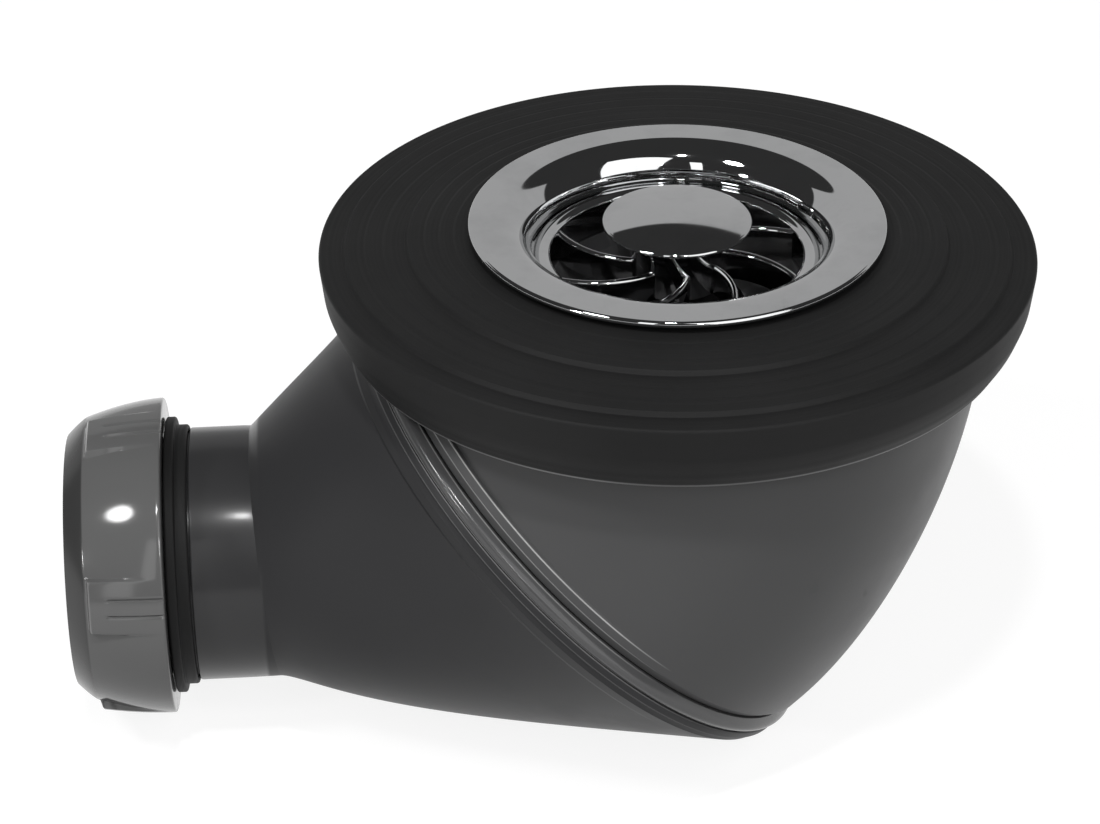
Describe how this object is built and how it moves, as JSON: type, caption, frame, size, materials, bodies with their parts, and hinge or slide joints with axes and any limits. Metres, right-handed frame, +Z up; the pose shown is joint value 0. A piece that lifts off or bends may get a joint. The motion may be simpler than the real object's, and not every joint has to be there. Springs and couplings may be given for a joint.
{
  "type": "shower trap",
  "caption": "Low shower waste trap with a chromed strainer flange, a wide rubber tray washer and a bent grey body that ends in a swivelling side outlet with a domed compression nut.",
  "frame": {"origin": "on the drain axis at the crown of the tray washer, the plane that the underside of a shower tray is pressed against", "axes": "+Z up along the drain axis, -X towards the outlet at rest, +Y completes a right-handed frame"},
  "size_m": [0.1869, 0.136, 0.1066],
  "materials": {
    "chrome": "polished",
    "black_rubber": "satin",
    "seal_rubber": "matte",
    "dark_grey_plastic": "satin",
    "darker_grey_plastic": "satin",
    "glossy_grey_plastic": "gloss",
    "black_plastic": "satin"
  },
  "bodies": {
    "trap": {"waste_flange": "chrome", "strainer_frame": "chrome", "strainer_cap": "chrome", "flange_gasket": "seal_rubber", "tray_washer": "black_rubber", "dip_tube": "black_plastic", "dip_tube_seal": "seal_rubber", "inner_cup": "black_plastic", "upper_body": "dark_grey_plastic", "swivel_seal": "seal_rubber"},
    "outlet": {"swivel_ring": "dark_grey_plastic", "lower_body": "darker_grey_plastic", "nut_backing_ring": "black_rubber", "outlet_nut": "glossy_grey_plastic", "slip_ring": "black_plastic", "outlet_seal": "seal_rubber"}
  },
  "joints": [
    {"name": "outlet_swivel", "type": "hinge", "parent": "trap", "child": "outlet", "pos_m": [-0.0157, 0, -0.0568], "axis": [-0.7071, 0, -0.7071], "continuous": true}
  ]
}
